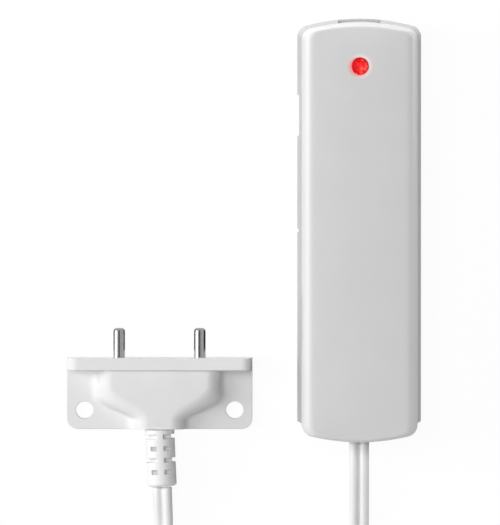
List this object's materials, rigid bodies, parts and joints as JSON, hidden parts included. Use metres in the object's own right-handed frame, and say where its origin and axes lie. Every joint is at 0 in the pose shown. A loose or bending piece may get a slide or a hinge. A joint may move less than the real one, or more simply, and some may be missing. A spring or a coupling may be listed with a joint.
{
  "type": "water leak sensor",
  "caption": "Slim wall-mounted leak transmitter with a red indicator in a clip-fitted cover, wired by a flat twin lead to a flanged probe with steel sensing pins.",
  "frame": {"origin": "middle of the transmitter and probe as they lie, on the surface under them", "axes": "+X across from the probe to the transmitter, +Y along the transmitter towards its latch end, +Z out of the front"},
  "size_m": [0.0962, 0.2207, 0.0252],
  "materials": {
    "case_white": "fine satin moulding texture",
    "probe_white": "smooth satin",
    "lead_white": "smooth flexible jacket",
    "red_lens": "clear red, glowing",
    "pin_steel": "polished stainless steel",
    "tinned_steel": "tinned",
    "board_green": "solder mask",
    "chip_black": "moulded",
    "chip_tan": "ceramic",
    "brass_strip": "stamped",
    "cell_jacket": "shrink sleeve",
    "button_ivory": "moulded",
    "terminal_green": "moulded"
  },
  "bodies": {
    "base": {"rear_base": "case_white", "indicator_led": "red_lens", "circuit_board": "board_green", "radio_shield": "tinned_steel", "processor_chip": "chip_black", "timing_crystal": "tinned_steel", "chip_parts": "chip_tan", "antenna_strip": "brass_strip", "battery_cell": "cell_jacket", "battery_clip_plus": "tinned_steel", "battery_clip_minus": "tinned_steel", "tamper_switch": "chip_black", "enrol_switch": "chip_black", "terminal_block": "terminal_green", "terminal_clamps": "tinned_steel", "terminal_screws": "tinned_steel", "board_screws": "tinned_steel", "cable_tail": "lead_white", "probe_housing": "probe_white", "probe_pin_left": "pin_steel", "probe_pin_right": "pin_steel", "probe_strain_relief": "probe_white", "cable_transmitter_run": "lead_white", "cable_coil": "lead_white", "cable_probe_run": "lead_white", "cable_tie": "lead_white"},
    "cover": {"front_cover": "case_white", "light_pipe": "red_lens"},
    "tamper": {"tamper_plunger": "button_ivory"},
    "button": {"enrol_button": "button_ivory"}
  },
  "joints": [
    {"name": "cover_open", "type": "hinge", "parent": "base", "child": "cover", "pos_m": [0.0313, -0.05007, 0.0116], "axis": [1, 0, 0], "range_deg": [0, 60]},
    {"name": "tamper_rise", "type": "slide", "parent": "base", "child": "tamper", "axis": [0, 0, 1], "range_m": [0, 0.0015]},
    {"name": "enrol_press", "type": "slide", "parent": "base", "child": "button", "axis": [0, 0, -1], "range_m": [0, 0.0003], "stiffness_N_per_m": 400}
  ],
  "couplings": [
    {"joint": "tamper_rise", "follows": "cover_open", "m_per_rad": 0.001432}
  ]
}
